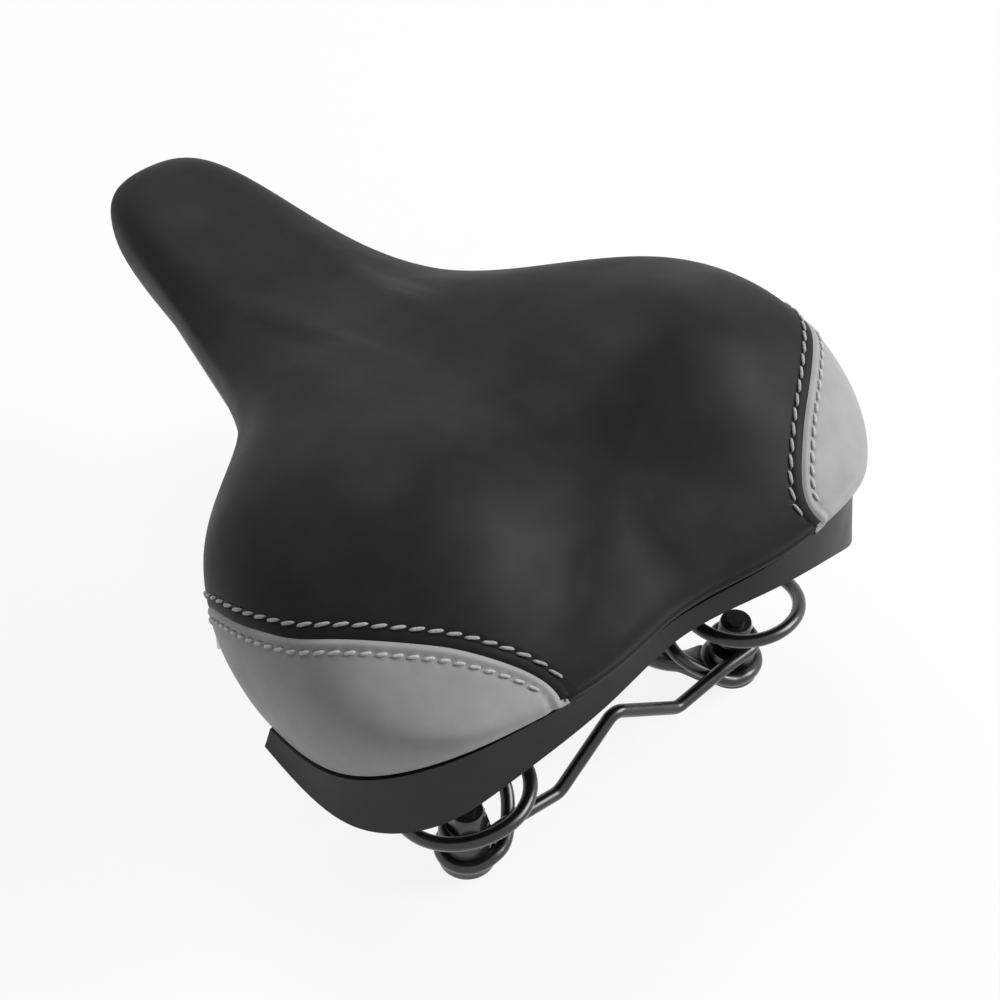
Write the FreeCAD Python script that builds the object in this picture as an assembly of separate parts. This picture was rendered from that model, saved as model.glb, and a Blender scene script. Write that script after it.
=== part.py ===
"""Sprung city-bicycle saddle: soft cushion on a moulded base, steel rail frame and two rear coil springs.

Frame: +X to the nose, +Y to the rider's left, +Z up. The origin is the centre of the stretch of rail
that the seat clamp grips. All sizes are in millimetres.
"""
import FreeCAD, Part
import math
import os

V = FreeCAD.Vector

# ---- driving dimensions -------------------------------------------------------------------------
# plan of the cushion
nose_x = 157.0                # nose tip, forward of the clamp centre
tail_x = -101.5               # middle of the tail, between the two wings
wing_tail_x = -106.0          # rearmost reach of each wing
nose_half_width = 30.0
waist_x = 25.0                # where the flanks start to flare out into the wings
waist_half_width = 47.5
wing_half_width = 101.5
# heights of the cushion
nose_top_z = 71.5             # at the tip
bridge_top_z = 65.0           # where the nose is lowest
waist_top_z = 78.0
seat_top_z = 88.0             # along the middle of the seat, between the two sit pads
tail_top_z = 66.0
lobe_height = 15.0            # how far the sit pads stand above the middle
lobe_x, lobe_y = -43.0, 49.0
lobe_length, lobe_width = 55.0, 33.5
base_drop_z = 47.0            # underside of the base in the middle
rim_tuck = 3.5                # the cushion's lower edge lies this far inside its widest line
# walls
cover_t = 1.4
hem_width = 12.0              # cover turned in under the base
base_t = 3.0
rib_height = 6.0
rib_t = 2.4
rib_back_x, rib_front_x = -88.0, 104.0
cross_rib_x = (-22.0, 18.0, 58.0)
piping_width = 2.6
piping_rise = 0.3
skirt_t = 2.4
skirt_flange = 15.0
skirt_gap = 0.3
skirt_flare = 2.4             # its lower edge lies this much further out than its top
skirt_front_x = -45.0         # the skirt ends here on each side
# rail frame
rail_d = 7.0
rail_gauge = 44.0             # centre to centre in the clamp stretch
clamp_front_x, clamp_back_x = 37.0, -42.0
nose_bar_x, nose_bar_z = 120.0, 33.0
nose_bar_half = 15.0
nose_bend_r = 8.0
rail_bend_r = 14.0
pad_t = 3.0                   # flattened rail end under each spring
pad_d = 17.0
pad_neck = 10.0               # from the bolt to where the flattening starts
pad_taper = 7.0
pad_run = 25.0                # level run of the rail behind the pad
# springs
spring_x, spring_y = -76.0, 54.5
spring_foot_z = -24.5         # centre line of the small bottom coil
spring_head_z = 4.5           # centre line of the big top coil
wire_d = 4.2
foot_coil_r = 7.8
head_coil_r = 18.2
bulge_coil_r = 21.5           # widest turn, between foot and head
# rear stay
stay_z = -15.9
stay_kink_y, stay_kink_z = 24.2, -19.0
stay_peak_x, stay_peak_z = -79.0, -4.0
stay_eye_r = 6.2
stay_eye_turn = 260.0
stay_lead = 10.0              # straight run into each eye
stay_bend_r = 5.0
# fasteners
bolt_d = 6.0
bolt_clear = 0.2
bolt_head_d, bolt_head_h = 12.0, 3.4
bolt_end = 1.4                # thread standing out of the nut
nut_af, nut_h = 10.0, 5.5
washer_d, washer_t = 12.5, 1.4
locator_d = 14.4              # stepped washer that centres the foot coil
screw_d, screw_head_d, screw_head_h, screw_len = 3.5, 7.0, 2.2, 10.0
skirt_screw_len = 5.5
boss_r = screw_head_d / 2 + 0.3
skirt_screw_rows = (7, 9)    # beside these rows of the outline
skirt_screw_inset = 9.0
thread_gap = 0.05
screw_clear = 0.3
# spring posts and clips
post_length, post_width = 18.0, 18.0
post_foot_gap = 0.2
post_top_z = 65.0             # well inside the pan, which trims it
post_draft = 3.0
gusset_foot_z, gusset_reach = 14.0, 16.0
clip_t = 1.5
clip_screw_step = 5.6         # each side of the coil's centre line
# nose clip
nose_clip_width = 11.0
nose_clip_t = 2.0
nose_clip_gap = 0.3
nose_block_half = 15.0
nose_block_h = 26.0           # from the bar's seat up into the pan
nose_screw_step = 10.0
# staples
staple_width, staple_t, staple_leg = 8.0, 0.8, 3.6
staple_inset = 7.0

rail_r = rail_d / 2
wire_r = wire_d / 2
centre = V(-35.0, 0, 0)       # the cushion's rings shrink towards this point

# half outline from the nose round to the tail, one control point a row:
# x, y, height of the widest line, height of the lower edge, shoulder radius, skirt's lower edge
half_outline = [
    (nose_x, 0, 54, 42, 22, 30),
    (nose_x - 3.5, nose_half_width * 0.78, 53, 42, 30, 30),
    (nose_x - 61, nose_half_width, 54, 43, 31, 30),
    (nose_x - 92, nose_half_width + 7.5, 53, 45, 28, 30),
    (waist_x, waist_half_width, 53, 45, 21, 34),
    (waist_x - 30, wing_half_width - 3.5, 53, 39, 23, 33),
    (waist_x - 79, wing_half_width, 53.5, 35.5, 16, 30),
    (waist_x - 104.5, wing_half_width - 4, 53, 41.5, 24, 20),
    (wing_tail_x + 7.5, wing_half_width - 22, 59.5, 54, 35, 28),
    (wing_tail_x, wing_half_width - 37.5, 65, 60.5, 39, 43),
    (wing_tail_x - 4.5, 30.5, 65, 61.5, 34, 53),
    (tail_x, 0, 62.5, 57.5, 27, 51),
]

# ---- helpers ------------------------------------------------------------------------------------


def closed_ring(half):
    """Mirror a half list of (x, y, ...) rows into the full closed ring."""
    return half + [(r[0], -r[1]) + tuple(r[2:]) for r in half[-2:0:-1]]


ring_rows = closed_ring(half_outline)
n_ring = len(ring_rows)


def inward(i):
    """Unit vector from control point i into the cushion, square to the outline there."""
    a, b = ring_rows[i - 1], ring_rows[(i + 1) % n_ring]
    d = V(b[0] - a[0], b[1] - a[1], 0)
    n = V(-d.y, d.x, 0)
    n.normalize()
    return n


def smooth(points, x):
    """Catmull-Rom curve through (x, value) points that run downwards in x."""
    pts = [(2 * points[0][0] - points[1][0], points[0][1])] + points
    pts.append((2 * points[-1][0] - points[-2][0], points[-1][1]))
    for (x0, a), (x1, b), (x2, c), (x3, d) in zip(pts, pts[1:], pts[2:], pts[3:]):
        if x >= x2 or (x2, c) == points[-1]:
            t = min(max((x1 - x) / (x1 - x2), 0.0), 1.0)
            m1 = (c - a) / (x0 - x2) * (x1 - x2)
            m2 = (d - b) / (x1 - x3) * (x1 - x2)
            return ((2 * t**3 - 3 * t**2 + 1) * b + (t**3 - 2 * t**2 + t) * m1
                    + (3 * t**2 - 2 * t**3) * c + (t**3 - t**2) * m2)


def top_z(x, y):
    """Height of the cushion's top away from its shoulders."""
    ridge = [(nose_x, nose_top_z), (nose_x - 37, bridge_top_z + 3), (nose_x - 67, bridge_top_z),
             (nose_x - 97, bridge_top_z), (waist_x + 4, waist_top_z), (waist_x - 35, seat_top_z - 3.5),
             (lobe_x - 7, seat_top_z), (tail_x, tail_top_z)]
    along = math.exp(-((x - lobe_x) / lobe_length) ** 2)
    across = math.exp(-((abs(y) - lobe_y) / lobe_width) ** 2)
    return smooth(ridge, x) + lobe_height * along * across


def net_face(rows):
    """Smooth face over rows of control points, closed round each row."""
    degree = 3
    n_v = len(rows)
    deg_v = min(degree, n_v - 1)
    surface = Part.BSplineSurface()
    v_mults = [deg_v + 1] + [1] * (n_v - deg_v - 1) + [deg_v + 1]
    u_mults = [1] * (n_ring + 1)
    surface.buildFromPolesMultsKnots(
        [[rows[j][i] for j in range(n_v)] for i in range(n_ring)],
        u_mults, v_mults, list(range(n_ring + 1)), list(range(len(v_mults))),
        True, False, degree, deg_v)
    return surface.toShape()


def cap(row, surface_face):
    """Flat face over the first or last ring of a net face."""
    edges = sorted((e for e in surface_face.Edges if e.isClosed() or len(e.Vertexes) == 1),
                   key=lambda e: e.CenterOfMass.distanceToPoint(mean(row)))
    return Part.Face(Part.Wire([edges[0]]))


def mean(row):
    total = V(0, 0, 0)
    for p in row:
        total += p
    return total / len(row)


def side_and_top(inset, lower, raise_top):
    """Rings from the lower edge over the widest line to the middle of the top."""
    rows = []
    for drop, tuck in ((1.0, rim_tuck), (0.55, rim_tuck * 0.35), (0.15, 0.0)):
        row = []
        for i, (x, y, girth, rim, shoulder, hang) in enumerate(ring_rows):
            p = V(x, y, 0) + inward(i) * (inset + tuck)
            p.z = girth + (rim + lower - girth) * drop
            row.append(p)
        rows.append(row)
    for shrink in (0.0, 0.035, 0.08, 0.14, 0.22, 0.32, 0.44, 0.58, 0.72, 0.86, 0.97):
        row = []
        for i, (x, y, girth, rim, shoulder, hang) in enumerate(ring_rows):
            edge = V(x, y, 0) + inward(i) * inset
            p = edge + (centre - edge) * shrink
            depth = max((p - edge).dot(inward(i)), 0.0) + 0.12 * shoulder
            q = min(depth / shoulder, 1.0)
            p.z = girth + (top_z(p.x, p.y) + raise_top - girth) * math.sqrt(1 - (1 - q) ** 2)
            row.append(p)
        rows.append(row)
    level = mean(rows[-1]).z
    for p in rows[-1]:
        p.z = level
    return rows


def underside(rim_row, middle_z):
    """Rings from an edge inwards to a middle height."""
    rows = [rim_row]
    for shrink in (0.1, 0.28, 0.5, 0.75, 0.97):
        row = []
        for p in rim_row:
            q = p + (V(centre.x, 0, p.z) - p) * shrink
            q.z = p.z + (middle_z - p.z) * (1 - (1 - min(shrink * 1.8, 1.0)) ** 2)
            row.append(q)
        rows.append(row)
    level = mean(rows[-1]).z
    for p in rows[-1]:
        p.z = level
    return rows


def closed_solid(nets, bands=()):
    """Solid bounded by nets that run in to a small ring, each capped there, and bands between them."""
    faces = [net_face(rows) for rows in nets]
    caps = [cap(rows[-1], face) for rows, face in zip(nets, faces)]
    shell = Part.makeShell(faces + caps + [net_face(rows) for rows in bands])
    shell.sewShape()
    solid = Part.Solid(shell if shell.ShapeType == "Shell" else shell.Shells[0])
    if solid.Volume < 0:
        solid.reverse()
    return solid


def cushion(inset, lower, raise_top, first=0):
    """The cushion's form moved inwards by inset, its edge and underside by lower, its top by raise_top.

    first turns the rings so that the closing seams of two forms that cross don't meet.
    """
    side = side_and_top(inset, lower, raise_top)
    nets = [side, underside(side[0], base_drop_z + lower)]
    return closed_solid([[row[first:] + row[:first] for row in rows] for rows in nets])


def skirt_form(inset, lower_top, lower_foot, first=0):
    """Closed form of the skirt, from just under the cushion's edge down to its own lower edge."""
    side = []
    for part in (0.0, 0.3, 0.65, 1.0):
        row = []
        for i, (x, y, girth, rim, shoulder, hang) in enumerate(ring_rows):
            top = rim - cover_t - skirt_gap - lower_top
            p = V(x, y, 0) + inward(i) * (inset + rim_tuck - skirt_flare * part ** 1.2)
            p.z = top + (hang - lower_foot - top) * part
            row.append(p)
        side.append(row)
    roof = underside(side[0], base_drop_z - cover_t - skirt_gap - lower_top)
    floor = underside(side[-1], mean(side[-1]).z)
    roof, floor, side = [[row[first:] + row[:first] for row in rows] for rows in (roof, floor, side)]
    return closed_solid([roof, floor], [side])


def cylinder(r, z0, z1, x, y):
    return Part.makeCylinder(r, z1 - z0, V(x, y, z0))


def mirror(shape):
    return shape.mirror(V(0, 0, 0), V(0, 1, 0))


def both_sides(shape):
    return Part.makeCompound([shape, mirror(shape)])


def bent_path(points, radii):
    """Edges of straight runs through the points, joined by tangent arcs of the given radii."""
    edges, start = [], points[0]
    for a, b, c, bend_r in zip(points, points[1:], points[2:], radii):
        u, w = (a - b), (c - b)
        u.normalize()
        w.normalize()
        half = u.getAngle(w) / 2
        cut = bend_r / math.tan(half)
        middle = u + w
        middle.normalize()
        p1, p2 = b + u * cut, b + w * cut
        on_arc = b + middle * (bend_r / math.sin(half) - bend_r)
        edges += [Part.LineSegment(start, p1).toShape(), Part.Arc(p1, on_arc, p2).toShape()]
        start = p2
    edges.append(Part.LineSegment(start, points[-1]).toShape())
    return edges


def round_sweep(edges, r):
    """Round bar along a chain of edges."""
    path = Part.Wire(edges)
    first = path.OrderedEdges[0]
    start = first.valueAt(first.FirstParameter)
    tangent = first.tangentAt(first.FirstParameter)
    ring = Part.Wire([Part.Circle(start, tangent, r).toShape()])
    return path.makePipeShell([ring], True, False)


def ring_block(ring, z0, z1):
    """Upright block inside a closed ring of control points."""
    curve = Part.BSplineCurve()
    curve.buildFromPolesMultsKnots(ring, [1] * (n_ring + 1), list(range(n_ring + 1)), True, 3)
    block = Part.Face(Part.Wire([curve.toShape()])).extrude(V(0, 0, z1 - z0))
    block.translate(V(0, 0, z0))
    return block


def tapered_block(x, y, length, width, z0, z1, draft):
    """Upright block that grows by draft on every side from z0 to z1."""
    outlines = []
    for z, grow in ((z0, 0), (z1, draft)):
        a, b = length / 2 + grow, width / 2 + grow
        corners = [V(x - a, y - b, z), V(x + a, y - b, z), V(x + a, y + b, z), V(x - a, y + b, z)]
        outlines.append(Part.makePolygon(corners + corners[:1]))
    return Part.makeLoft(outlines, True, True)


def gusset(x, y, along, reach, z0, z1, thickness):
    """Triangular web that leans out along one direction, from a point at z0 to its reach at z1."""
    across = V(-along.y, along.x, 0) * (thickness / 2)
    foot, head = V(x, y, z0), V(x, y, z1)
    side = [p - across for p in (foot, head + along * reach, head)]
    return Part.Face(Part.makePolygon(side + side[:1])).extrude(across * 2)


def pan_screw(x, y, z, length):
    """Screw driven upwards, its head's seat at height z."""
    head = cylinder(screw_head_d / 2, z - screw_head_h, z, x, y)
    head = head.makeFillet(0.9, [e for e in head.Edges if e.BoundBox.ZMax < z - screw_head_h + 0.1])
    return head.fuse(cylinder(screw_d / 2, z - 0.5, z + length, x, y))


def leaning_prism(curve_points, closing_points, z0, z1):
    """Block that leans out to the left; its plan is a smooth curve closed by straight lines."""
    shift = seam_lean * (z0 - seam_level_z)
    curve_points = [(x, y + shift) for x, y in curve_points]
    closing_points = [(x, y + shift) for x, y in closing_points]
    curve = Part.BSplineCurve()
    curve.interpolate([V(x, y, z0) for x, y in curve_points])
    loop = [V(curve_points[-1][0], curve_points[-1][1], z0)]
    loop += [V(x, y, z0) for x, y in closing_points]
    loop.append(V(curve_points[0][0], curve_points[0][1], z0))
    edges = [curve.toShape()]
    edges += [Part.LineSegment(p, q).toShape() for p, q in zip(loop, loop[1:])]
    return Part.Face(Part.Wire(edges)).extrude(V(0, seam_lean * (z1 - z0), z1 - z0))


# ---- cushion, cover and base --------------------------------------------------------------------
outer = cushion(0, -cover_t, 0)
inner = cushion(cover_t, 0, -cover_t)
raised = cushion(-6, base_t, 6, first=5)
proud = cushion(-piping_rise, -cover_t, piping_rise)

foam_pad = inner.common(raised)
base_pan = inner.cut(raised)

hem_hole = [V(x, y, 0) + inward(i) * (rim_tuck + hem_width) for i, (x, y, *_) in enumerate(ring_rows)]
hem_block = ring_block(hem_hole, 0, 62)
cover = outer.cut(inner).cut(hem_block)

# rear corner panels of the cover, sewn in along a piped seam
seam = [(0, 122), (-6, 114), (-13, 109), (-24, 105.5), (-36, 102), (-47, 97), (-57, 91), (-69, 78.5),
        (-76, 71), (-82.5, 64.3), (-88.5, 59.8), (-93.5, 56.8), (-98.3, 55), (-103, 54.6), (-108, 57),
        (-114, 62)]
seam_front_x = seam[0][0]
seam_level_z = 80.0           # the seam's points are its plan at this height
seam_lean = 0.7               # how far the cut leans outwards for each unit of height


def seam_offset(points, distance):
    moved = []
    for i, (x, y) in enumerate(points):
        (xa, ya), (xb, yb) = points[max(i - 1, 0)], points[min(i + 1, len(points) - 1)]
        length = math.hypot(xb - xa, yb - ya)
        moved.append((x - (yb - ya) / length * distance, y + (xb - xa) / length * distance))
    return moved


seam_in = seam_offset(seam, piping_width / 2)
seam_out = seam_offset(seam, -piping_width / 2)
far = wing_half_width + 60
panel_block = leaning_prism(seam_out, [(-150, seam_out[-1][1]), (-150, far), (seam_front_x, far)], 20, 120)
main_block = leaning_prism(seam_in, [(-150, seam_in[-1][1]), (-150, far), (seam_front_x, far)], 20, 120)
piping_block = main_block.cut(panel_block)
piping_block = piping_block.common(Part.makeBox(200, 110, 100, V(-155, 34, 20)))

left_panel = cover.common(panel_block)
cover_main = cover.cut(main_block).cut(mirror(main_block))
left_piping = proud.cut(inner).cut(hem_block).common(piping_block)

# ribs, spring posts and nose block, moulded in one with the pan
rib_zone = cushion(cover_t + rim_tuck + hem_width, -rib_height, -cover_t, first=5)
ribs = [Part.makeBox(rib_front_x - rib_back_x, rib_t, 60, V(rib_back_x, -rib_t / 2, 20))]
ribs += [Part.makeBox(rib_t, 2 * wing_half_width, 60, V(x, -wing_half_width, 20)) for x in cross_rib_x]
rib_set = ribs[0].multiFuse(ribs[1:]).common(rib_zone)

post_foot_z = spring_head_z - wire_r + post_foot_gap
post_x = spring_x + head_coil_r
clip_foot_z = spring_head_z - wire_r - post_foot_gap - clip_t
clip_screw_x = [post_x - clip_screw_step, post_x + clip_screw_step]
post = tapered_block(post_x, spring_y, post_length, post_width, post_foot_z, post_top_z, post_draft)
webs = [gusset(post_x, spring_y, along, post_length / 2 + gusset_reach, gusset_foot_z, post_top_z, rib_t)
        for along in (V(1, 0, 0), V(-1, 0, 0), V(0, 1, 0), V(0, -1, 0))]
post = post.multiFuse(webs)
for z in (spring_head_z, spring_head_z - wire_r / 2):
    post = post.cut(Part.makeTorus(head_coil_r, wire_r + post_foot_gap, V(spring_x, spring_y, z)))
for x in clip_screw_x:
    post = post.cut(cylinder(screw_d / 2 + thread_gap, post_foot_z - 1, clip_foot_z + screw_len + 1, x, spring_y))

bar_seat_r = rail_r + nose_clip_gap
block_foot_z = nose_bar_z + nose_clip_gap
nose_screw_x = [nose_bar_x - nose_screw_step, nose_bar_x + nose_screw_step]
block = Part.makeBox(2 * nose_block_half, nose_clip_width, nose_block_h,
                     V(nose_bar_x - nose_block_half, -nose_clip_width / 2, block_foot_z))
block = block.cut(Part.makeCylinder(bar_seat_r, 80, V(nose_bar_x, -40, nose_bar_z), V(0, 1, 0)))
for x in nose_screw_x:
    block = block.cut(cylinder(screw_d / 2 + thread_gap, nose_bar_z, block_foot_z - nose_clip_t + screw_len + 1, x, 0))
moulded = rib_set.multiFuse([post, mirror(post), block]).cut(raised)
base_shell = base_pan.fuse(moulded)

# ---- rear skirt ---------------------------------------------------------------------------------
flange_hole = [V(x, y, 0) + inward(i) * (rim_tuck + skirt_flange) for i, (x, y, *_) in enumerate(ring_rows)]
skirt_outer = skirt_form(0, 0, 0)
skirt_inner = skirt_form(skirt_t, skirt_t, 4, first=5)
rear_box = Part.makeBox(120, 300, 100, V(skirt_front_x - 120, -150, 0))
rear_skirt = skirt_outer.cut(skirt_inner).cut(ring_block(flange_hole, 0, 80)).common(rear_box)


def level_under(solid, x, y, reach=0.0):
    """Heights of a solid's underside, lowest and highest, at a point in plan and at a reach round it."""
    levels = []
    for dx, dy in ((0, 0), (reach, 0), (-reach, 0), (0, reach), (0, -reach)):
        line = Part.makeLine(V(x + dx, y + dy, -60), V(x + dx, y + dy, 90)).common(solid)
        if line.Edges:
            levels.append(line.BoundBox.ZMin)
    return min(levels), max(levels)


skirt_screws, skirt_screw_holes, bosses = [], [], []
for i in skirt_screw_rows:
    place = V(*ring_rows[i][:2], 0) + inward(i) * (rim_tuck + skirt_screw_inset)
    x, y = place.x, place.y
    foot, top = level_under(rear_skirt, x, y, boss_r)
    length = skirt_screw_len + top - foot
    skirt_screws.append(pan_screw(x, y, foot, length))
    hole = cylinder(screw_d / 2 + thread_gap, foot - 1, foot + length + 0.5, x, y)
    skirt_screw_holes.append(hole.fuse(cylinder(boss_r, foot - screw_head_h - 0.2, foot, x, y)))
    bosses.append(cylinder(boss_r, foot, top + skirt_t / 2, x, y).common(skirt_outer))
skirt_screws = both_sides(Part.makeCompound(skirt_screws))
skirt_screw_holes = both_sides(Part.makeCompound(skirt_screw_holes))

# ---- staples through the hem --------------------------------------------------------------------
staples, staple_holes = [], []
for i, (x, y, *_) in enumerate(half_outline):
    p = V(x, y, 0) + inward(i) * (rim_tuck + staple_inset)
    if p.x < skirt_front_x + staple_width:
        continue
    z = level_under(outer, p.x, p.y, staple_width / 2)[0] - staple_t
    crown = Part.makeBox(staple_t, staple_width, staple_t, V(-staple_t / 2, -staple_width / 2, 0))
    legs = [Part.makeBox(staple_t, staple_t, staple_t + staple_leg, V(-staple_t / 2, y0, 0))
            for y0 in (-staple_width / 2, staple_width / 2 - staple_t)]
    leg_holes = [Part.makeBox(staple_t + 0.04, staple_t + 0.04, staple_t + staple_leg + 0.1,
                              V(-staple_t / 2 - 0.02, y0, 0))
                 for y0 in (-staple_width / 2 - 0.02, staple_width / 2 - staple_t - 0.02)]
    leg_holes.append(Part.makeBox(staple_t + 0.04, staple_width + 0.04, staple_t + 0.02,
                                  V(-staple_t / 2 - 0.02, -staple_width / 2 - 0.02, 0)))
    turn = FreeCAD.Rotation(V(1, 0, 0), inward(i))
    place = FreeCAD.Placement(V(p.x, p.y, z), turn)
    for shape, into in ((crown.multiFuse(legs), staples), (Part.makeCompound(leg_holes), staple_holes)):
        shape.Placement = place
        into.append(shape)
        if y > 0:
            into.append(mirror(shape))
staple_holes = Part.makeCompound(staple_holes)

holes = Part.makeCompound([skirt_screw_holes, staple_holes])
cover_main = cover_main.cut(holes)
left_panel = left_panel.cut(holes)
left_piping = left_piping.cut(holes)
base_shell = base_shell.cut(holes)
foam_pad = foam_pad.cut(skirt_screw_holes)
rear_skirt = rear_skirt.multiFuse(bosses + [mirror(boss) for boss in bosses]).cut(skirt_screw_holes)

# ---- clips under the spring heads and the nose bar ----------------------------------------------
clip = Part.makeBox(post_length, post_width, clip_t,
                    V(post_x - post_length / 2, spring_y - post_width / 2, clip_foot_z))
clip_screws = []
for x in clip_screw_x:
    clip = clip.cut(cylinder(screw_d / 2 + screw_clear, clip_foot_z - 1, clip_foot_z + clip_t + 1, x, spring_y))
    clip_screws.append(pan_screw(x, spring_y, clip_foot_z, screw_len))
clip_screws = both_sides(Part.makeCompound(clip_screws))

hoop_r = bar_seat_r + nose_clip_t
nose_clip = Part.makeCylinder(hoop_r, nose_clip_width, V(nose_bar_x, -nose_clip_width / 2, nose_bar_z), V(0, 1, 0))
nose_clip = nose_clip.fuse(Part.makeBox(2 * nose_block_half, nose_clip_width, nose_clip_t,
                                        V(nose_bar_x - nose_block_half, -nose_clip_width / 2,
                                          block_foot_z - nose_clip_t)))
nose_clip = nose_clip.cut(Part.makeCylinder(bar_seat_r, 80, V(nose_bar_x, -40, nose_bar_z), V(0, 1, 0)))
nose_clip = nose_clip.cut(Part.makeBox(80, 80, 40, V(nose_bar_x - 40, -40, block_foot_z)))
nose_clip_screws = []
for x in nose_screw_x:
    nose_clip = nose_clip.cut(cylinder(screw_d / 2 + screw_clear, nose_bar_z - 10, nose_bar_z + 10, x, 0))
    nose_clip_screws.append(pan_screw(x, 0, block_foot_z - nose_clip_t, screw_len))

# ---- rail frame ---------------------------------------------------------------------------------
pad_top_z = spring_foot_z - wire_r
pad_mid_z = pad_top_z - pad_t / 2
half_gauge = rail_gauge / 2
clamp_back = V(clamp_back_x, half_gauge, 0)
bolt_axis = V(spring_x, spring_y, pad_mid_z)
to_clamp = V(clamp_back.x - spring_x, clamp_back.y - spring_y, 0)
to_clamp.normalize()
left_route = [bolt_axis + to_clamp * (pad_neck + pad_taper), bolt_axis + to_clamp * pad_run, clamp_back,
              V(clamp_front_x, half_gauge, 0), V(nose_bar_x, nose_bar_half, nose_bar_z)]
right_route = [V(p.x, -p.y, p.z) for p in reversed(left_route)]
bends = [rail_bend_r, rail_bend_r, rail_bend_r, nose_bend_r]
rails = round_sweep(bent_path(left_route + right_route, bends + bends[::-1]), rail_r)


def flat_section(distance, width, height):
    """Closed outline across the rail's end, at a distance from the bolt."""
    side = V(-to_clamp.y, to_clamp.x, 0) * (width / 2)
    up = V(0, 0, height / 2)
    c = bolt_axis + to_clamp * distance
    corners = [c + side + up, c - side + up, c - side - up, c + side - up]
    return Part.makePolygon(corners + corners[:1])


neck = Part.makeLoft([Part.Wire([Part.Circle(left_route[0], to_clamp, rail_r).toShape()]),
                      flat_section(pad_neck, pad_d * 0.72, pad_t)], True, True)
tongue = Part.makeLoft([flat_section(pad_neck, pad_d * 0.72, pad_t), flat_section(0, pad_d * 0.72, pad_t)], True, True)
pad = cylinder(pad_d / 2, pad_top_z - pad_t, pad_top_z, spring_x, spring_y).fuse([tongue, neck])
pad = pad.cut(cylinder(bolt_d / 2 + bolt_clear, pad_top_z - pad_t - 1, pad_top_z + 1, spring_x, spring_y))
rail_frame = rails.multiFuse([pad, mirror(pad)])

# ---- stack on each spring bolt ------------------------------------------------------------------
head_z = pad_top_z - pad_t
locator_top = stay_z - wire_r
washer_z = stay_z + wire_r
nut_z = washer_z + washer_t
bolt = cylinder(bolt_d / 2, head_z, nut_z + nut_h + bolt_end, spring_x, spring_y)
bolt = bolt.fuse(cylinder(bolt_head_d / 2, head_z - bolt_head_h, head_z, spring_x, spring_y))
bolt = bolt.makeFillet(1.6, [e for e in bolt.Edges if e.BoundBox.ZMax < head_z - bolt_head_h + 0.1])
locator = cylinder(locator_d / 2, spring_foot_z + wire_r, locator_top, spring_x, spring_y)
locator = locator.fuse(cylinder(foot_coil_r - wire_r - bolt_clear, pad_top_z, locator_top, spring_x, spring_y))
washer = cylinder(washer_d / 2, washer_z, washer_z + washer_t, spring_x, spring_y)
nut_ring = [V(spring_x + nut_af / math.sqrt(3) * math.cos(math.radians(a)),
              spring_y + nut_af / math.sqrt(3) * math.sin(math.radians(a)), nut_z) for a in range(0, 361, 60)]
nut = Part.Face(Part.makePolygon(nut_ring)).extrude(V(0, 0, nut_h))
nut = nut.common(Part.makeCone(nut_af * 0.62, nut_af * 0.48, nut_h, V(spring_x, spring_y, nut_z)))
bore = cylinder(bolt_d / 2 + bolt_clear, head_z, nut_z, spring_x, spring_y)
nut_bore = cylinder(bolt_d / 2 + thread_gap, nut_z - 1, nut_z + nut_h + 1, spring_x, spring_y)

# ---- rear stay ----------------------------------------------------------------------------------
stay_x = spring_x - stay_eye_r
left_stay = [V(stay_x, spring_y, stay_z), V(stay_x, spring_y - stay_lead, stay_z),
             V(stay_x, stay_kink_y, stay_kink_z)]
right_stay = [V(p.x, -p.y, p.z) for p in reversed(left_stay)]
stay_run = bent_path(left_stay + [V(stay_peak_x, 0, stay_peak_z)] + right_stay, [30, stay_bend_r, stay_bend_r,
                                                                                stay_bend_r, 30])


def eye_arc(side):
    """Open eye round the bolt, from its rear round the outside and front to the inside."""
    def at(turn):
        a = math.radians(180 - turn)
        return V(spring_x + stay_eye_r * math.cos(a), side * (spring_y + stay_eye_r * math.sin(a)), stay_z)
    half_turn = stay_eye_turn / 2
    ends = [at(0), at(half_turn), at(stay_eye_turn)]
    return Part.Arc(*(ends if side < 0 else ends[::-1])).toShape()


rear_stay = round_sweep([eye_arc(1)] + stay_run + [eye_arc(-1)], wire_r)

# ---- coil springs -------------------------------------------------------------------------------
# one row per station along the wire: angle from straight ahead (anticlockwise from above on the
# right-hand spring), coil radius, height above the foot coil
rise = spring_head_z - spring_foot_z
stations = [
    (475, foot_coil_r, 0), (420, foot_coil_r, 0), (300, foot_coil_r, 0), (205, foot_coil_r, 0),
    (165, foot_coil_r + 1.1, 0.04 * rise), (135, foot_coil_r + 2.9, 0.06 * rise),
    (101, foot_coil_r + 5.9, 0.18 * rise), (65, bulge_coil_r - 1, 0.38 * rise),
    (25, bulge_coil_r, 0.47 * rise), (-41, bulge_coil_r - 1.4, 0.66 * rise),
    (-131, head_coil_r + 0.3, 0.92 * rise), (-175, head_coil_r, rise), (-260, head_coil_r, rise),
    (-330, head_coil_r, rise), (-390, head_coil_r, rise)]
radius_at = [(a, r) for a, r, z in stations]
height_at = [(a, z) for a, r, z in stations]
coil_points = []
steps = 72
for i in range(steps + 1):
    a = stations[0][0] + (stations[-1][0] - stations[0][0]) * i / steps
    r = smooth(radius_at, a)
    coil_points.append(V(spring_x + r * math.cos(math.radians(a)), -spring_y + r * math.sin(math.radians(a)),
                         spring_foot_z + smooth(height_at, a)))
coil = Part.BSplineCurve()
coil.interpolate(coil_points)
right_spring = round_sweep([coil.toShape()], wire_r)

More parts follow.
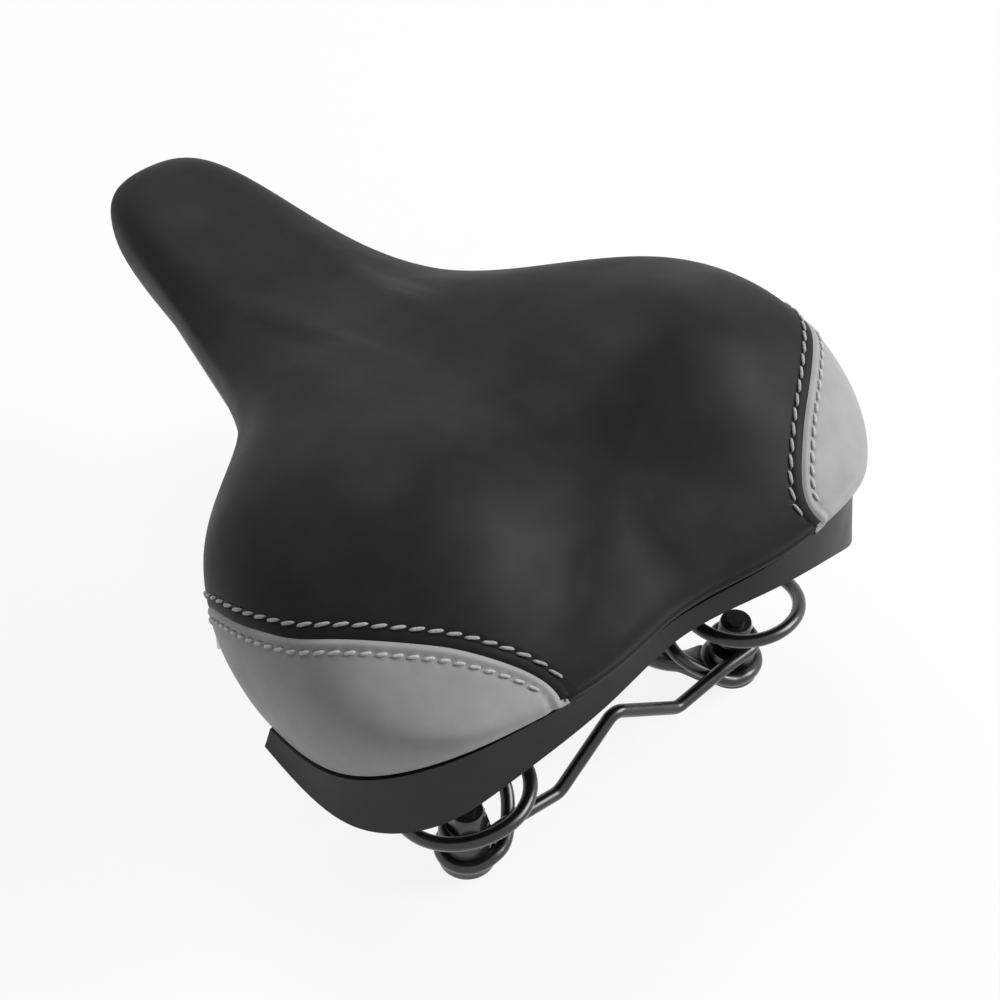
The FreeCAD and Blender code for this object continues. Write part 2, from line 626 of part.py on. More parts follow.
shapes = {
    "cover_main": cover_main,
    "left_cover_panel": left_panel,
    "right_cover_panel": mirror(left_panel),
    "left_piping": left_piping,
    "right_piping": mirror(left_piping),
    "foam_pad": foam_pad,
    "base_shell": base_shell,
    "cover_staples": Part.makeCompound(staples),
    "rear_skirt": rear_skirt,
    "skirt_screws": skirt_screws,
    "left_spring_clip": clip,
    "right_spring_clip": mirror(clip),
    "spring_clip_screws": clip_screws,
    "nose_clip": nose_clip,
    "nose_clip_screws": Part.makeCompound(nose_clip_screws),
    "rail_frame": rail_frame,
    "rear_stay": rear_stay,
    "left_spring": mirror(right_spring),
    "right_spring": right_spring,
    "spring_locators": both_sides(locator.cut(bore)),
    "spring_bolts": both_sides(bolt),
    "spring_washers": both_sides(washer.cut(bore)),
    "spring_nuts": both_sides(nut.cut(nut_bore)),
}

os.makedirs("parts", exist_ok=True)
for name, shape in shapes.items():
    print(name, len(shape.Solids), round(shape.Volume), shape.isValid())
    shape.exportStep("parts/" + name + ".step")
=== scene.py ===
"""Blender model of the sprung city-bicycle saddle: sewn cushion, moulded parts, wire springs, studio."""
import math

import bmesh
import bpy
import numpy as np
from mathutils import Matrix, Vector
from mathutils.bvhtree import BVHTree
from mathutils.kdtree import KDTree


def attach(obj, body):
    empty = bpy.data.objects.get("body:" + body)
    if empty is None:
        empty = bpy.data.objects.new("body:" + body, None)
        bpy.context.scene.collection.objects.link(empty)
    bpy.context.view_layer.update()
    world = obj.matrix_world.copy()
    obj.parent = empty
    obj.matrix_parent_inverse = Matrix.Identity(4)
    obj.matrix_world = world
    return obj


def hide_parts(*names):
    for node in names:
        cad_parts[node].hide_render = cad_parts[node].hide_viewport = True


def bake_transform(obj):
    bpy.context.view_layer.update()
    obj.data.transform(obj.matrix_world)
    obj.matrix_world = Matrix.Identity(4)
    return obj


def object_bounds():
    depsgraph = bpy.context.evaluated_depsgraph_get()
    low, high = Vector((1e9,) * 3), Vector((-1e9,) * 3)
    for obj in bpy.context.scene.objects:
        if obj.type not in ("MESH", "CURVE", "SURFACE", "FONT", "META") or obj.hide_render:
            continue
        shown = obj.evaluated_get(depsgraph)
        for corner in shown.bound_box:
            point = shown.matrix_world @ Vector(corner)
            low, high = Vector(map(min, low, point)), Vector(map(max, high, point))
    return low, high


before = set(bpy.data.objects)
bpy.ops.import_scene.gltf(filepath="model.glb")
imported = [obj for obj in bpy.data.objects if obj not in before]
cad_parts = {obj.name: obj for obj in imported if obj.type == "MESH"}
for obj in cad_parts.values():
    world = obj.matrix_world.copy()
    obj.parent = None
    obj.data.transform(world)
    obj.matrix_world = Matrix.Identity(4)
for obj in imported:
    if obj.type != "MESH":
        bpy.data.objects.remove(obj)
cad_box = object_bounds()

MM = 0.001                     # sizes below are in millimetres, in the CAD's frame

# ---- the cushion's form, as in the CAD ----------------------------------------------------------
nose_x, tail_x, wing_tail_x = 157.0, -101.5, -106.0
nose_half_width = 30.0
waist_x, waist_half_width = 25.0, 47.5
wing_half_width = 101.5
nose_top_z, bridge_top_z, waist_top_z, seat_top_z, tail_top_z = 71.5, 65.0, 78.0, 88.0, 66.0
lobe_height = 15.0
lobe_x, lobe_y = -43.0, 49.0
lobe_length, lobe_width = 55.0, 33.5
base_drop_z = 47.0
rim_tuck = 3.5
cover_t = 1.4
hem_width = 12.0
base_t = 3.0
pole = np.array([-35.0, 0.0])  # the rings shrink towards this point

# half outline from the nose to the tail: x, y, widest line, lower edge, shoulder radius
half_outline = [
    (nose_x, 0, 54, 42, 22),
    (nose_x - 3.5, nose_half_width * 0.78, 53, 42, 30),
    (nose_x - 61, nose_half_width, 54, 43, 31),
    (nose_x - 92, nose_half_width + 7.5, 53, 45, 28),
    (waist_x, waist_half_width, 53, 45, 21),
    (waist_x - 30, wing_half_width - 3.5, 53, 39, 23),
    (waist_x - 79, wing_half_width, 53.5, 35.5, 16),
    (waist_x - 104.5, wing_half_width - 4, 53, 41.5, 24),
    (wing_tail_x + 7.5, wing_half_width - 22, 59.5, 54, 35),
    (wing_tail_x, wing_half_width - 37.5, 65, 60.5, 39),
    (wing_tail_x - 4.5, 30.5, 65, 61.5, 34),
    (tail_x, 0, 62.5, 57.5, 27),
]
# seam of the left corner panel, from its front end to its tail end: its plan at one level,
# and how far it leans outwards for each unit of height
seam_plan = [(12, 150), (0, 122), (-6, 114), (-13, 109), (-24, 105.5), (-36, 102), (-47, 97), (-57, 91),
             (-69, 78.5), (-76, 71), (-82.5, 64.3), (-88.5, 59.8), (-93.5, 56.8), (-98.3, 55), (-103, 54.6),
             (-108, 57), (-114, 62), (-150, 70)]
seam_level_z = 80.0
seam_lean = 0.7
seam_foot_z = 44.0             # the seam is dressed down to here, just above the hem
seam_front_limit = 5.0         # both seams lie behind this
pole_smooth_r = 13.0           # the skin is evened out this near to the pole

# ---- sewing -------------------------------------------------------------------------------------
ring_samples = 560
top_rows = 112
welt_half_width = 1.75         # black strip between cover and panel
cover_stitch_offset = -2.3     # stitch rows, from the seam: negative lies on the black cover
panel_stitch_offset = 4.8
stitch_pitch = 4.8
panel_stitch_pitch = 4.0
cover_stitch_length, panel_stitch_length = 4.3, 3.3
thread_thickness = 1.0
thread_slant = 0.22            # sideways lean of a stitch, as a share of its length
thread_rise, thread_dip = 0.25, 0.5
row_half_width = 0.9           # of the dent under each stitch row
cover_row_depth, panel_row_depth = 0.30, 0.34
groove_depth, groove_half_width = 0.80, 1.4
roll_height, roll_offset, roll_half_width = 0.38, 2.7, 0.9
welt_rise, welt_sink = 0.5, 0.45
seam_step = 0.8                # spacing of the points along a seam
seam_zone = 8.0                # the mesh is finer this near to a seam
swell_cap = 1.6                # most that the stuffing pushes the cover out
slack = 0.5                    # the sewn form starts this much smaller
skin_t = cover_t - 0.3         # thickness of the sewn pieces

# ---- cloth simulation of the stuffing -----------------------------------------------------------
cloth_cell = 5.0               # mesh size of the simulated form
cloth_frames = 20
cloth_pressure = 4.0
cloth_held_band = 4.0          # held this near to each seam

ring = np.array(half_outline + [(x, -y, g, r, s) for x, y, g, r, s in half_outline[-2:0:-1]], float)
ring_xy, girth, rim, shoulder = ring[:, :2], ring[:, 2], ring[:, 3], ring[:, 4]
n_ring = len(ring)
ring_along = np.roll(ring_xy, -1, 0) - np.roll(ring_xy, 1, 0)
ring_inward = np.stack([-ring_along[:, 1], ring_along[:, 0]], 1)
ring_inward /= np.linalg.norm(ring_inward, axis=1)[:, None]


def smooth(points, x):
    """Catmull-Rom curve through (x, value) points that run downwards in x."""
    pts = np.array([(2 * points[0][0] - points[1][0], points[0][1])] + points
                   + [(2 * points[-1][0] - points[-2][0], points[-1][1])], float)
    x = np.clip(x, points[-1][0], points[0][0])
    out = np.zeros_like(x)
    for (x0, a), (x1, b), (x2, c), (x3, d) in zip(pts, pts[1:], pts[2:], pts[3:]):
        t = (x1 - x) / (x1 - x2)
        m1 = (c - a) / (x0 - x2) * (x1 - x2)
        m2 = (d - b) / (x1 - x3) * (x1 - x2)
        value = ((2 * t**3 - 3 * t**2 + 1) * b + (t**3 - 2 * t**2 + t) * m1
                 + (3 * t**2 - 2 * t**3) * c + (t**3 - t**2) * m2)
        out = np.where((t >= 0) & (t <= 1), value, out)
    return out


def top_z(x, y):
    """Height of the cushion's top away from its shoulders."""
    ridge = [(nose_x, nose_top_z), (nose_x - 37, bridge_top_z + 3), (nose_x - 67, bridge_top_z),
             (nose_x - 97, bridge_top_z), (waist_x + 4, waist_top_z), (waist_x - 35, seat_top_z - 3.5),
             (lobe_x - 7, seat_top_z), (tail_x, tail_top_z)]
    along = np.exp(-((x - lobe_x) / lobe_length) ** 2)
    across = np.exp(-((np.abs(y) - lobe_y) / lobe_width) ** 2)
    return smooth(ridge, x) + lobe_height * along * across


def side_and_top(inset, lower, raise_top):
    """Control rings from the lower edge over the widest line to the middle of the top."""
    rows = []
    for drop, tuck in ((1.0, rim_tuck), (0.55, rim_tuck * 0.35), (0.15, 0.0)):
        xy = ring_xy + ring_inward * (inset + tuck)
        rows.append(np.column_stack([xy, girth + (rim + lower - girth) * drop]))
    edge = ring_xy + ring_inward * inset
    for shrink in (0.0, 0.035, 0.08, 0.14, 0.22, 0.32, 0.44, 0.58, 0.72, 0.86, 0.97):
        xy = edge + (pole - edge) * shrink
        depth = np.maximum(((xy - edge) * ring_inward).sum(1), 0.0) + 0.12 * shoulder
        q = np.minimum(depth / shoulder, 1.0)
        z = girth + (top_z(xy[:, 0], xy[:, 1]) + raise_top - girth) * np.sqrt(1 - (1 - q) ** 2)
        rows.append(np.column_stack([xy, z]))
    rows[-1][:, 2] = rows[-1][:, 2].mean()
    return np.array(rows)


def underside(rim_row, middle_z):
    """Control rings from an edge inwards to a middle height."""
    rows = [rim_row]
    for shrink in (0.1, 0.28, 0.5, 0.75, 0.97):
        xy = rim_row[:, :2] + (pole - rim_row[:, :2]) * shrink
        rise = 1 - (1 - min(shrink * 1.8, 1.0)) ** 2
        rows.append(np.column_stack([xy, rim_row[:, 2] + (middle_z - rim_row[:, 2]) * rise]))
    rows[-1][:, 2] = rows[-1][:, 2].mean()
    return np.array(rows)


def round_basis(count):
    """Weights of a closed cubic B-spline at evenly spaced places round the ring."""
    u = np.arange(count) / count * n_ring
    k, t = np.floor(u).astype(int), u % 1
    weights = np.zeros((count, n_ring))
    cubic = ((1 - t) ** 3 / 6, (3 * t**3 - 6 * t**2 + 4) / 6,
             (-3 * t**3 + 3 * t**2 + 3 * t + 1) / 6, t**3 / 6)
    for j, w in enumerate(cubic):
        weights[np.arange(count), (k + j - 1) % n_ring] += w
    return weights


def open_basis(n_rows, count):
    """Weights of a clamped cubic B-spline at evenly spaced places from the first row to the last."""
    degree = 3
    knots = np.concatenate([np.zeros(degree), np.arange(n_rows - degree + 1),
                            np.full(degree, n_rows - degree)])
    v = np.linspace(0, n_rows - degree, count) * (1 - 1e-9)
    weights = np.array([(knots[i] <= v) & (v < knots[i + 1]) for i in range(len(knots) - 1)], float)
    for d in range(1, degree + 1):
        raised = []
        for i in range(len(knots) - 1 - d):
            total = 0.0
            if knots[i + d] > knots[i]:
                total = total + (v - knots[i]) / (knots[i + d] - knots[i]) * weights[i]
            if knots[i + d + 1] > knots[i + 1]:
                total = total + (knots[i + d + 1] - v) / (knots[i + d + 1] - knots[i + 1]) * weights[i + 1]
            raised.append(total + np.zeros(count))
        weights = np.array(raised)
    return weights.T


def surface(rows, around, along):
    """Grid of points (along, around, 3) on the smooth surface over control rings."""
    grid = np.einsum("uk,rkc->ruc", round_basis(around), rows)
    return np.einsum("vr,ruc->vuc", open_basis(len(rows), along), grid)


def by_length(grid, places, share=False):
    """Each column of a grid resampled at lengths from its first row, or at shares of its whole length."""
    steps = np.linalg.norm(np.diff(grid, axis=0), axis=2)
    lengths = np.vstack([np.zeros(grid.shape[1]), np.cumsum(steps, 0)])
    out = np.zeros((len(places), grid.shape[1], 3))
    for i in range(grid.shape[1]):
        at = np.array(places) * (lengths[-1, i] if share else 1.0)
        for c in range(3):
            out[:, i, c] = np.interp(at, lengths[:, i], grid[:, i, c])
    return out


def cushion_grid(inset, lower, raise_top, around, rows, hem):
    """Grid of the cushion's skin, from hem inside its lower edge, round it, to the middle of the top."""
    side = side_and_top(inset, lower, raise_top)
    below = surface(underside(side[0], base_drop_z + lower), around, 160)
    above = surface(side, around, 500)
    hem_places = np.linspace(hem, 1.2, max(int(hem / 1.6), 2)) if hem else []
    under = by_length(below, hem_places) if hem else np.zeros((0, around, 3))
    over = by_length(above, np.linspace(0.008, 1.0, rows) ** 1.05, share=True)
    return np.concatenate([under, over])


# ---- mesh helpers -------------------------------------------------------------------------------


def new_object(name, mesh):
    obj = bpy.data.objects.new(name, mesh)
    bpy.context.scene.collection.objects.link(obj)
    return obj


def from_bmesh(name, bm, material, scale=MM):
    """Object from a bmesh in millimetres, smooth-shaded."""
    bmesh.ops.recalc_face_normals(bm, faces=bm.faces)
    bm.transform(Matrix.Scale(scale, 4))
    mesh = bpy.data.meshes.new(name)
    bm.to_mesh(mesh)
    bm.free()
    mesh.polygons.foreach_set("use_smooth", [True] * len(mesh.polygons))
    mesh.materials.append(material)
    return new_object(name, mesh)


def grid_bmesh(grid, close_first=False, close_last=False):
    """Mesh over a grid that closes round each row; its ends may be closed with a fan."""
    bm = bmesh.new()
    rows = [[bm.verts.new(p) for p in row] for row in grid]
    for a, b in zip(rows, rows[1:]):
        for i in range(len(a)):
            j = (i + 1) % len(a)
            bm.faces.new((a[i], a[j], b[j], b[i]))
    for wanted, row in ((close_first, rows[0]), (close_last, rows[-1])):
        if wanted:
            middle = bm.verts.new(sum((v.co for v in row), Vector()) / len(row))
            for i in range(len(row)):
                bm.faces.new((row[i], row[(i + 1) % len(row)], middle))
    return bm


def apply_modifiers(obj):
    depsgraph = bpy.context.evaluated_depsgraph_get()
    mesh = bpy.data.meshes.new_from_object(obj.evaluated_get(depsgraph))
    obj.modifiers.clear()
    old = obj.data
    obj.data = mesh
    bpy.data.meshes.remove(old)


def tube(points, radius, sides):
    """Round bar through points in millimetres, its ends rounded off."""
    pts = np.array(points, float)
    tangent = np.gradient(pts, axis=0)
    tangent /= np.linalg.norm(tangent, axis=1)[:, None]
    up = np.array([0.0, 0.0, 1.0])
    rings = []
    for p, t in zip(pts, tangent):
        side = np.cross(t, up)
        side /= np.linalg.norm(side)
        other = np.cross(side, t)
        rings.append((p, side, other, t))
    shape = []
    cap_angles = np.radians([80, 60, 40, 20])
    for a in cap_angles:
        p, s, o, t = rings[0]
        shape.append((p - t * radius * math.sin(a) * 0.6, s, o, radius * math.cos(a)))
    shape += [(p, s, o, radius) for p, s, o, t in rings]
    for a in cap_angles[::-1]:
        p, s, o, t = rings[-1]
        shape.append((p + t * radius * math.sin(a) * 0.6, s, o, radius * math.cos(a)))
    around = np.arange(sides) / sides * 2 * math.pi
    grid = [[tuple(p + r * (math.cos(a) * s + math.sin(a) * o)) for a in around] for p, s, o, r in shape]
    return grid_bmesh(grid, True, True)


# ---- materials ----------------------------------------------------------------------------------


class Shader:
    """A node material built up from short calls."""

    def __init__(self, name, colour, roughness, **sockets):
        self.material = bpy.data.materials.new(name)
        self.material.use_nodes = True
        self.tree = self.material.node_tree
        self.bsdf = self.tree.nodes["Principled BSDF"]
        self.bsdf.inputs["Base Color"].default_value = (*colour, 1)
        self.bsdf.inputs["Roughness"].default_value = roughness
        for key, value in sockets.items():
            self.bsdf.inputs[key.replace("_", " ")].default_value = value
        self.place = self.node("ShaderNodeTexCoord").outputs["Object"]
        self.normal = None

    def node(self, kind, **values):
        node = self.tree.nodes.new(kind)
        for key, value in values.items():
            if key in node.inputs:
                node.inputs[key].default_value = value
            else:
                setattr(node, key, value)
        return node

    def link(self, a, b):
        self.tree.links.new(a, b)

    def noise(self, size_mm, detail=3.0, rough=0.5):
        node = self.node("ShaderNodeTexNoise", Scale=1 / (size_mm * MM), Detail=detail, Roughness=rough)
        self.link(self.place, node.inputs["Vector"])
        return node.outputs["Fac"]

    def cells(self, size_mm, feature="SMOOTH_F1"):
        node = self.node("ShaderNodeTexVoronoi", feature=feature, Scale=1 / (size_mm * MM))
        self.link(self.place, node.inputs["Vector"])
        return node.outputs["Distance"]

    def between(self, fac, low, high, fac_low=0.3, fac_high=0.7):
        node = self.node("ShaderNodeMapRange")
        for key, value in (("From Min", fac_low), ("From Max", fac_high),
                           ("To Min", low), ("To Max", high)):
            node.inputs[key].default_value = value
        self.link(fac, node.inputs["Value"])
        return node.outputs["Result"]

    def vary_colour(self, fac, dark, light, fac_low=0.3, fac_high=0.7):
        ramp = self.node("ShaderNodeValToRGB")
        ramp.color_ramp.elements[0].position = fac_low
        ramp.color_ramp.elements[0].color = (*dark, 1)
        ramp.color_ramp.elements[1].position = fac_high
        ramp.color_ramp.elements[1].color = (*light, 1)
        self.link(fac, ramp.inputs["Fac"])
        self.link(ramp.outputs["Color"], self.bsdf.inputs["Base Color"])

    def vary_roughness(self, fac, low, high):
        self.link(self.between(fac, low, high), self.bsdf.inputs["Roughness"])

    def bump(self, height, depth_mm, strength=1.0):
        node = self.node("ShaderNodeBump", Strength=strength, Distance=depth_mm * MM)
        self.link(height, node.inputs["Height"])
        if self.normal:
            self.link(self.normal, node.inputs["Normal"])
        self.normal = node.outputs["Normal"]
        self.link(self.normal, self.bsdf.inputs["Normal"])


def grey(value):
    return (value, value, value)


def vinyl(name, dark, light, roughness):
    """Coated upholstery vinyl: fine pebbled grain, slight mottling, shine that varies."""
    s = Shader(name, grey(light), roughness, Specular_IOR_Level=0.10)
    s.vary_colour(s.noise(9.0, 4.0), grey(dark), grey(light))
    s.vary_roughness(s.noise(22.0, 3.0), roughness - 0.05, roughness + 0.07)
    s.bump(s.noise(30.0, 2.0), 0.3, 0.4)
    s.bump(s.cells(0.8), 0.025, 0.5)
    s.bump(s.noise(0.35, 2.0), 0.015, 0.5)
    return s.material


def moulded(name, dark, light, roughness, texture_depth=0.03):
    """Injection-moulded plastic with a fine spark-eroded texture."""
    s = Shader(name, grey(light), roughness, Specular_IOR_Level=0.25)
    s.vary_colour(s.noise(14.0, 3.0), grey(dark), grey(light))
    s.vary_roughness(s.noise(18.0, 3.0), roughness - 0.05, roughness + 0.06)
    s.bump(s.noise(0.5, 3.0, 0.6), texture_depth, 0.6)
    return s.material


def painted_steel(name, value, roughness):
    """Black powder-coated or enamelled steel with a faint orange peel."""
    s = Shader(name, grey(value), roughness, Coat_Weight=0.3, Coat_Roughness=0.2)
    s.vary_roughness(s.noise(6.0, 3.0), roughness - 0.04, roughness + 0.08)
    s.bump(s.noise(1.6, 2.0), 0.02, 0.5)
    return s.material


def plated_steel(name, value, roughness):
    s = Shader(name, grey(value), roughness, Metallic=1.0)
    s.vary_colour(s.noise(1.2, 4.0), grey(value * 0.8), grey(value))
    s.vary_roughness(s.noise(2.5, 3.0), roughness - 0.06, roughness + 0.12)
    s.bump(s.noise(0.4, 2.0), 0.01, 0.5)
    return s.material


def thread(name, dark, light):
    """Twisted sewing thread."""
    s = Shader(name, grey(light), 0.55, Sheen_Weight=0.3)
    s.vary_colour(s.noise(0.8, 2.0), grey(dark), grey(light))
    wave = s.node("ShaderNodeTexWave", Scale=1 / (1.2 * MM), bands_direction="DIAGONAL")
    s.link(s.place, wave.inputs["Vector"])
    s.bump(wave.outputs["Fac"], 0.12, 0.7)
    return s.material


black_vinyl = vinyl("black_vinyl", 0.009, 0.013, 0.50)
grey_vinyl = vinyl("grey_vinyl", 0.30, 0.35, 0.48)
# the welt is the cover's black vinyl made darker still: painted shade in the seam
welt_vinyl_painted_shade = vinyl("welt_vinyl_painted_shade", 0.006, 0.010, 0.5)
light_thread = thread("light_thread", 0.26, 0.38)
grey_thread = thread("grey_thread", 0.40, 0.50)
skirt_plastic = moulded("skirt_plastic", 0.008, 0.012, 0.42)
base_plastic = moulded("base_plastic", 0.014, 0.022, 0.5, 0.05)
foam_grey = moulded("foam_grey", 0.30, 0.36, 0.9, 0.3)
rail_paint = painted_steel("rail_paint", 0.008, 0.28)
wire_paint = painted_steel("wire_paint", 0.005, 0.28)
fastener_black = painted_steel("fastener_black", 0.012, 0.3)
staple_steel = plated_steel("staple_steel", 0.55, 0.32)

# ---- the skin: inflated, then sewn --------------------------------------------------------------


def densify(points, step):
    """Smooth curve through plan points, at even steps."""
    pts = np.array([points[0]] + list(points) + [points[-1]], float)
    out = []
    for a, b, c, d in zip(pts, pts[1:], pts[2:], pts[3:]):
        n = max(int(np.linalg.norm(c - b) / step), 1)
        t = (np.arange(n) / n)[:, None]
        out.append(0.5 * (2 * b + (c - a) * t + (2 * a - 5 * b + 4 * c - d) * t**2
                          + (3 * b - a - 3 * c + d) * t**3))
    return np.vstack(out + [pts[-1:]])


seam_line = densify(seam_plan, 1.0)


def seam_distance(co):
    """Distance of points from the seam of the nearer side: positive on the corner panel."""
    p = np.column_stack([co[:, 0], np.abs(co[:, 1]) - seam_lean * (co[:, 2] - seam_level_z)])
    a, b = seam_line[:-1], seam_line[1:]
    d = b - a
    best = np.full(len(p), 1e9)
    sign = np.ones(len(p))
    for i in range(len(a)):
        t = np.clip(((p - a[i]) @ d[i]) / (d[i] @ d[i]), 0, 1)
        away = p - (a[i] + t[:, None] * d[i])
        dist = np.hypot(away[:, 0], away[:, 1])
        nearer = dist < best
        cross = d[i][0] * away[:, 1] - d[i][1] * away[:, 0]
        sign = np.where(nearer, np.where(cross > 0, -1.0, 1.0), sign)
        best = np.where(nearer, dist, best)
    return best * sign


def inflate(grid):
    """Displacement of the skin under the stuffing's pressure, held at the seams and the lower edge."""
    form = from_bmesh("inflated_form", grid_bmesh(grid, True, True), black_vinyl)
    remesh = form.modifiers.new("even", "REMESH")
    remesh.mode = "VOXEL"
    remesh.voxel_size = cloth_cell * MM
    apply_modifiers(form)
    rest = np.zeros(len(form.data.vertices) * 3)
    form.data.vertices.foreach_get("co", rest)
    rest = rest.reshape(-1, 3) / MM
    off_seam = np.abs(seam_distance(rest))
    held = (rest[:, 2] < girth.min()) | (off_seam < cloth_held_band)
    group = form.vertex_groups.new(name="held")
    group.add([int(i) for i in np.nonzero(held)[0]], 1.0, "REPLACE")
    cloth = form.modifiers.new("stuffing", "CLOTH")
    cloth.settings.use_pressure = True
    cloth.settings.uniform_pressure_force = cloth_pressure
    cloth.settings.effector_weights.gravity = 0
    cloth.settings.vertex_group_mass = "held"
    cloth.settings.tension_stiffness = 20
    cloth.settings.compression_stiffness = 20
    cloth.settings.bending_stiffness = 2
    cloth.point_cache.frame_start = 1
    cloth.point_cache.frame_end = cloth_frames
    scene = bpy.context.scene
    for f in range(1, cloth_frames + 1):
        scene.frame_set(f)
    apply_modifiers(form)
    scene.frame_set(1)
    moved = np.zeros(len(form.data.vertices) * 3)
    form.data.vertices.foreach_get("co", moved)
    moved = moved.reshape(-1, 3) / MM - rest
    bpy.data.objects.remove(form)
    return rest, moved


def swell(grid):
    """How far each grid point moves outwards, capped and evened out."""
    normals = grid_normals(grid)
    rest, moved = inflate(grid)
    size = np.linalg.norm(moved, axis=1)
    moved *= np.minimum(1.0, swell_cap / np.maximum(size, 1e-6))[:, None]
    tree = KDTree(len(rest))
    for i, p in enumerate(rest):
        tree.insert(p, i)
    tree.balance()
    step = 4
    coarse = grid[::step, ::step]
    out = np.zeros(coarse.shape[:2])
    for r in range(coarse.shape[0]):
        for c in range(coarse.shape[1]):
            near = tree.find_n(coarse[r, c], 10)
            weight = np.array([1 / (d + 1.5) ** 2 for _, _, d in near])
            shift = sum(w * moved[i] for w, (_, i, _) in zip(weight, near)) / weight.sum()
            out[r, c] = shift @ normals[r * step, c * step]
    rows = np.arange(grid.shape[0]) / step
    cols = np.arange(grid.shape[1]) / step
    wrapped = np.hstack([out, out[:, :1]])
    fine = np.array([np.interp(cols, np.arange(wrapped.shape[1]), row) for row in wrapped])
    fine = np.array([np.interp(rows, np.arange(fine.shape[0]), fine[:, c]) for c in range(fine.shape[1])]).T
    for _ in range(6):
        padded = np.vstack([fine[:1], fine, fine[-1:]])
        fine = (padded[:-2] + padded[2:] + np.roll(fine, 1, 1) + np.roll(fine, -1, 1) + 2 * fine) / 6
    return normals * fine[:, :, None]


def grid_normals(grid):
    around = np.roll(grid, -1, 1) - np.roll(grid, 1, 1)
    along = np.gradient(grid, axis=0)
    n = np.cross(around, along)
    length = np.linalg.norm(n, axis=2)[:, :, None]
    n /= np.maximum(length, 1e-9)
    middle = grid.mean((0, 1))
    outward = ((grid - middle) * n).sum()
    return n if outward > 0 else -n


def cut_along_seam(bm):
    """New edges where the seam runs, so that no face crosses it."""
    snap, farthest = 0.15, 6.0
    bm.verts.ensure_lookup_table()
    co = np.array([v.co for v in bm.verts])
    value = dict(zip(bm.verts, seam_distance(co)))
    on_seam = []
    for v, f in value.items():
        if abs(f) < snap and v.co.x < 0:
            value[v] = 0.0
            on_seam.append(v)
    crossing = [e for e in bm.edges
                if value[e.verts[0]] * value[e.verts[1]] < 0 and e.verts[0].co.x < seam_front_limit]
    for e in crossing:
        a, b = e.verts
        if abs(value[a]) > farthest or abs(value[b]) > farthest:
            continue
        _, v = bmesh.utils.edge_split(e, a, value[a] / (value[a] - value[b]))
        value[v] = 0.0
        on_seam.append(v)
    bmesh.ops.connect_verts(bm, verts=on_seam)


def seam_profile(off, along):
    """How far the skin stands in or out, by distance across the seam and along it."""
    ripple = 0.62 + 0.38 * np.cos(along / stitch_pitch * 2 * math.pi)
    panel_ripple = 0.62 + 0.38 * np.cos(along / panel_stitch_pitch * 2 * math.pi)
    return (-cover_row_depth * np.exp(-((off - cover_stitch_offset) / row_half_width) ** 2) * ripple
            - panel_row_depth * np.exp(-((off - panel_stitch_offset) / row_half_width) ** 2) * panel_ripple
            - groove_depth * np.exp(-(off / groove_half_width) ** 2)
            + roll_height * np.exp(-((off - roll_offset) / roll_half_width) ** 2))


def even(points, step):
    """Points at even steps along a polyline, evened out."""
    pts = np.array(points, float)
    for _ in range(8):
        pts[1:-1] = (pts[:-2] + 2 * pts[1:-1] + pts[2:]) / 4
    lengths = np.concatenate([[0], np.cumsum(np.linalg.norm(np.diff(pts, axis=0), axis=1))])
    at = np.linspace(0, lengths[-1], max(int(round(lengths[-1] / step)), 2) + 1)
    return np.column_stack([np.interp(at, lengths, pts[:, c]) for c in range(3)])


def build_cushion():
    """The sewn skin as cover and two corner panels, the runs of both seams, and the skin before sewing."""
    grid = cushion_grid(slack, -cover_t + slack, -slack, ring_samples, top_rows, hem_width)
    grid = grid + swell(grid)
    bm = grid_bmesh(grid, False, True)
    bmesh.ops.recalc_face_normals(bm, faces=bm.faces)
    for _ in range(30):
        middle = [v for v in bm.verts if math.dist(v.co.xy, pole) < pole_smooth_r]
        bmesh.ops.smooth_vert(bm, verts=middle, factor=0.5,
                              use_axis_x=True, use_axis_y=True, use_axis_z=True)
    cut_along_seam(bm)
    bm.verts.index_update()
    bm.verts.ensure_lookup_table()
    co = np.array([v.co for v in bm.verts])
    off = seam_distance(co)
    base_tree = BVHTree.FromBMesh(bm)
    seam_runs = {side: seam_run(base_tree, side) for side in (1, -1)}

    near = np.abs(off) < seam_zone
    zone_edges = [e for e in bm.edges if near[e.verts[0].index] and near[e.verts[1].index]
                  and e.verts[0].co.x < seam_front_limit]
    bmesh.ops.subdivide_edges(bm, edges=zone_edges, cuts=2, use_grid_fill=True)
    bm.verts.index_update()
    bm.verts.ensure_lookup_table()
    bm.normal_update()
    shape_seam(bm, seam_runs)
    bm.faces.index_update()
    centres = np.array([f.calc_center_median() for f in bm.faces])
    panel = seam_distance(centres) > 0
    pieces = {}
    for name, keep, material in (
            ("cover", ~panel, black_vinyl),
            ("left_panel", panel & (centres[:, 1] > 0), grey_vinyl),
            ("right_panel", panel & (centres[:, 1] < 0), grey_vinyl)):
        part = bm.copy()
        part.faces.ensure_lookup_table()
        drop = [f for f in part.faces if not keep[f.index]]
        bmesh.ops.delete(part, geom=drop, context="FACES")
        pieces[name] = finish_skin(name, part, material)
    bm.free()
    return pieces, seam_runs, base_tree


def seam_run(tree, side):
    """Where the leaning cut meets the skin on one side, from front to back, at even steps."""
    down = Vector((0, -side * seam_lean, -1)).normalized()
    high = 150.0
    run = []
    for x, y in seam_line:
        start = Vector((x, side * (y + seam_lean * (high - seam_level_z)), high))
        hit, _, _, _ = tree.ray_cast(start, down)
        if hit is not None and hit.z > seam_foot_z:
            run.append(hit)
    return even(run, seam_step)


